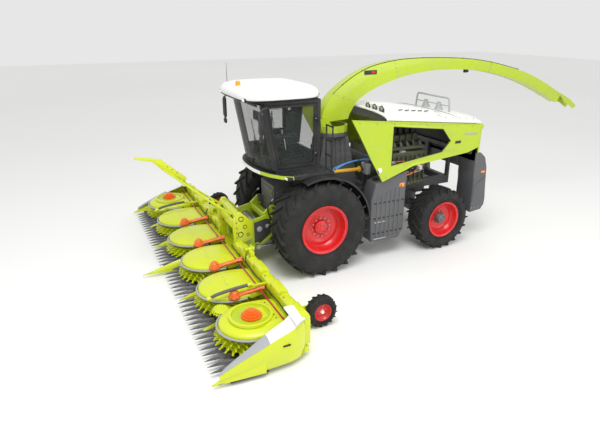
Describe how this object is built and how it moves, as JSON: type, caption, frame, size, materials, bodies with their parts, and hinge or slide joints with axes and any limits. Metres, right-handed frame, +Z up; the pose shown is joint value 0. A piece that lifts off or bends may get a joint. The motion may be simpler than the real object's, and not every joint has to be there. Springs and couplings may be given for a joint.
{
  "type": "forage harvester",
  "caption": "Self-propelled forage harvester with a folding rotary crop header, glazed cab, turning discharge spout and hinged side panels.",
  "frame": {"origin": "bottom centre of the box at rest, on the ground", "axes": "+Z up, -Y is the way the harvester drives, +X its left side"},
  "size_m": [7.88, 12.1172, 4.19],
  "materials": {
    "white_paint": "gloss white paint",
    "engine_paint": "olive engine paint over cast iron",
    "tyre_rubber": "black tyre rubber",
    "header_paint": "bright yellow-green gloss paint",
    "dark_plastic": "satin black powder coat and plastic",
    "orange_paint": "orange gloss paint",
    "bare_steel": "ground steel",
    "tinted_glass": "grey-green tinted glass",
    "grey_paint": "dark grey satin paint",
    "cast_steel": "rough grey casting",
    "yellow_paint": "yellow gloss paint",
    "seat_fabric": "dark woven seat cover",
    "lime_paint": "lime green gloss paint",
    "red_paint": "red gloss paint",
    "blue_paint": "blue gloss paint"
  },
  "bodies": {
    "chassis": {"air_intake_box": "white_paint", "cab_deck": "dark_plastic", "cab_frame": "dark_plastic", "cab_roof": "white_paint", "cab_side_glass": "tinted_glass", "chassis_frame": "grey_paint", "chopper_housing": "grey_paint", "discharge_tower": "grey_paint", "driver_seat": "seat_fabric", "engine_block": "engine_paint", "front_axle": "cast_steel", "fuel_tank_left": "grey_paint", "fuel_tank_right": "grey_paint", "hood_top": "white_paint", "hydraulic_pumps": "cast_steel", "lower_driveshaft": "orange_paint", "main_belt_drive": "bare_steel", "mirror_left": "dark_plastic", "mirror_right": "dark_plastic", "rear_axle": "cast_steel", "rear_end": "grey_paint", "steering_column": "dark_plastic", "upper_driveshaft": "yellow_paint", "windscreen": "tinted_glass"},
    "cab_door": {"cab_door": "dark_plastic", "cab_door_glass": "tinted_glass"},
    "side_panel_left": {"side_panel_left": "lime_paint"},
    "side_panel_right": {"side_panel_right": "lime_paint"},
    "spout_turret": {"spout_turret": "lime_paint"},
    "spout_arm": {"spout_arm": "lime_paint"},
    "spout_flap": {"spout_flap": "lime_paint"},
    "header": {"feeder_house": "lime_paint", "header_centre": "header_paint"},
    "feed_roll_front": {"feed_roll_front": "blue_paint"},
    "feed_roll_rear": {"feed_roll_rear": "blue_paint"},
    "header_wing_left": {"header_wing_left": "header_paint"},
    "header_wing_right": {"header_wing_right": "header_paint"},
    "front_wheel_left": {"front_wheel_left_rim": "red_paint", "front_wheel_left_tyre": "tyre_rubber"},
    "rear_wheel_left": {"rear_wheel_left_rim": "red_paint", "rear_wheel_left_tyre": "tyre_rubber"},
    "rear_knuckle_left": {"rear_knuckle_left": "cast_steel"},
    "gauge_wheel_left": {"gauge_wheel_left": "tyre_rubber"},
    "lift_barrel_left": {"lift_barrel_left": "dark_plastic"},
    "lift_rod_left": {"lift_rod_left": "bare_steel"},
    "rotor_left_1": {"rotor_left_1": "header_paint"},
    "rotor_left_2": {"rotor_left_2": "header_paint"},
    "rotor_left_3": {"rotor_left_3": "header_paint"},
    "front_wheel_right": {"front_wheel_right_rim": "red_paint", "front_wheel_right_tyre": "tyre_rubber"},
    "rear_wheel_right": {"rear_wheel_right_rim": "red_paint", "rear_wheel_right_tyre": "tyre_rubber"},
    "rear_knuckle_right": {"rear_knuckle_right": "cast_steel"},
    "gauge_wheel_right": {"gauge_wheel_right": "tyre_rubber"},
    "lift_barrel_right": {"lift_barrel_right": "dark_plastic"},
    "lift_rod_right": {"lift_rod_right": "bare_steel"},
    "rotor_right_1": {"rotor_right_1": "header_paint"},
    "rotor_right_2": {"rotor_right_2": "header_paint"},
    "rotor_right_3": {"rotor_right_3": "header_paint"}
  },
  "joints": [
    {"name": "front_wheel_spin_left", "type": "hinge", "parent": "chassis", "child": "front_wheel_left", "pos_m": [1.14, -2.57857, 1.01], "axis": [1, 0, 0], "continuous": true},
    {"name": "rear_steer_left", "type": "hinge", "parent": "chassis", "child": "rear_knuckle_left", "pos_m": [0.72, 0.52143, 0.71], "axis": [0, 0, 1], "range_deg": [-30, 30]},
    {"name": "rear_wheel_spin_left", "type": "hinge", "parent": "rear_knuckle_left", "child": "rear_wheel_left", "pos_m": [1.18, 0.52143, 0.71], "axis": [1, 0, 0], "continuous": true},
    {"name": "front_wheel_spin_right", "type": "hinge", "parent": "chassis", "child": "front_wheel_right", "pos_m": [-1.14, -2.57857, 1.01], "axis": [1, 0, 0], "continuous": true},
    {"name": "rear_steer_right", "type": "hinge", "parent": "chassis", "child": "rear_knuckle_right", "pos_m": [-0.72, 0.52143, 0.71], "axis": [0, 0, 1], "range_deg": [-30, 30]},
    {"name": "rear_wheel_spin_right", "type": "hinge", "parent": "rear_knuckle_right", "child": "rear_wheel_right", "pos_m": [-1.18, 0.52143, 0.71], "axis": [1, 0, 0], "continuous": true},
    {"name": "side_panel_hinge_left", "type": "hinge", "parent": "chassis", "child": "side_panel_left", "pos_m": [1.3, -1.95857, 3.1695], "axis": [0, 0.9947, -0.1025], "range_deg": [-80, 0]},
    {"name": "side_panel_hinge_right", "type": "hinge", "parent": "chassis", "child": "side_panel_right", "pos_m": [-1.3, -1.95857, 3.1695], "axis": [0, -0.9947, 0.1025], "range_deg": [-80, 0]},
    {"name": "cab_door_hinge", "type": "hinge", "parent": "chassis", "child": "cab_door", "pos_m": [0.868, -2.48857, 2.86], "axis": [0, 0, -1], "range_deg": [-75, 0]},
    {"name": "spout_turn", "type": "hinge", "parent": "chassis", "child": "spout_turret", "pos_m": [0, -1.71857, 2.72], "axis": [0, 0, 1], "range_deg": [-100, 100]},
    {"name": "spout_lift", "type": "hinge", "parent": "spout_turret", "child": "spout_arm", "pos_m": [0, -2.01857, 2.97], "axis": [1, 0, 0], "range_deg": [-4, 25]},
    {"name": "spout_flap_hinge", "type": "hinge", "parent": "spout_arm", "child": "spout_flap", "pos_m": [0, 5.37686, 3.08896], "axis": [1, 0, 0], "range_deg": [-60, 10]},
    {"name": "header_lift", "type": "hinge", "parent": "chassis", "child": "header", "pos_m": [0, -3.29857, 1.27], "axis": [-1, 0, 0], "range_deg": [0, 15]},
    {"name": "feed_roll_spin_front", "type": "hinge", "parent": "header", "child": "feed_roll_front", "pos_m": [0, -3.90857, 0.8], "axis": [1, 0, 0], "continuous": true},
    {"name": "feed_roll_spin_rear", "type": "hinge", "parent": "header", "child": "feed_roll_rear", "pos_m": [0, -3.63857, 0.86], "axis": [1, 0, 0], "continuous": true},
    {"name": "wing_fold_left", "type": "hinge", "parent": "header", "child": "header_wing_left", "pos_m": [1.25, -4.14857, 0.83], "axis": [0, -1, 0], "range_deg": [0, 90]},
    {"name": "gauge_wheel_spin_left", "type": "hinge", "parent": "header_wing_left", "child": "gauge_wheel_left", "pos_m": [3.05, -3.50857, 0.29], "axis": [1, 0, 0], "continuous": true},
    {"name": "rotor_spin_left_1", "type": "hinge", "parent": "header", "child": "rotor_left_1", "pos_m": [0.625, -4.85857, 0], "axis": [0, 0, 1], "continuous": true},
    {"name": "rotor_spin_left_2", "type": "hinge", "parent": "header_wing_left", "child": "rotor_left_2", "pos_m": [1.875, -4.85857, 0], "axis": [0, 0, 1], "continuous": true},
    {"name": "rotor_spin_left_3", "type": "hinge", "parent": "header_wing_left", "child": "rotor_left_3", "pos_m": [3.125, -4.85857, 0], "axis": [0, 0, 1], "continuous": true},
    {"name": "lift_barrel_swing_left", "type": "hinge", "parent": "chassis", "child": "lift_barrel_left", "pos_m": [0.535, -2.72857, 0.5], "axis": [-1, 0, 0], "range_deg": [0, 6.6]},
    {"name": "lift_rod_slide_left", "type": "slide", "parent": "lift_barrel_left", "child": "lift_rod_left", "axis": [0, -1, 0], "range_m": [0, 0.195]},
    {"name": "wing_fold_right", "type": "hinge", "parent": "header", "child": "header_wing_right", "pos_m": [-1.25, -4.14857, 0.83], "axis": [0, 1, 0], "range_deg": [0, 90]},
    {"name": "gauge_wheel_spin_right", "type": "hinge", "parent": "header_wing_right", "child": "gauge_wheel_right", "pos_m": [-3.05, -3.50857, 0.29], "axis": [1, 0, 0], "continuous": true},
    {"name": "rotor_spin_right_1", "type": "hinge", "parent": "header", "child": "rotor_right_1", "pos_m": [-0.625, -4.85857, 0], "axis": [0, 0, 1], "continuous": true},
    {"name": "rotor_spin_right_2", "type": "hinge", "parent": "header_wing_right", "child": "rotor_right_2", "pos_m": [-1.875, -4.85857, 0], "axis": [0, 0, 1], "continuous": true},
    {"name": "rotor_spin_right_3", "type": "hinge", "parent": "header_wing_right", "child": "rotor_right_3", "pos_m": [-3.125, -4.85857, 0], "axis": [0, 0, 1], "continuous": true},
    {"name": "lift_barrel_swing_right", "type": "hinge", "parent": "chassis", "child": "lift_barrel_right", "pos_m": [-0.535, -2.72857, 0.5], "axis": [-1, 0, 0], "range_deg": [0, 6.6]},
    {"name": "lift_rod_slide_right", "type": "slide", "parent": "lift_barrel_right", "child": "lift_rod_right", "axis": [0, -1, 0], "range_m": [0, 0.195]}
  ],
  "couplings": [
    {"joint": "rear_steer_right", "follows": "rear_steer_left", "ratio": 1},
    {"joint": "lift_barrel_swing_left", "follows": "header_lift", "ratio": 0.432},
    {"joint": "lift_rod_slide_left", "follows": "header_lift", "m_per_rad": 0.7364},
    {"joint": "lift_barrel_swing_right", "follows": "header_lift", "ratio": 0.432},
    {"joint": "lift_rod_slide_right", "follows": "header_lift", "m_per_rad": 0.7364}
  ]
}
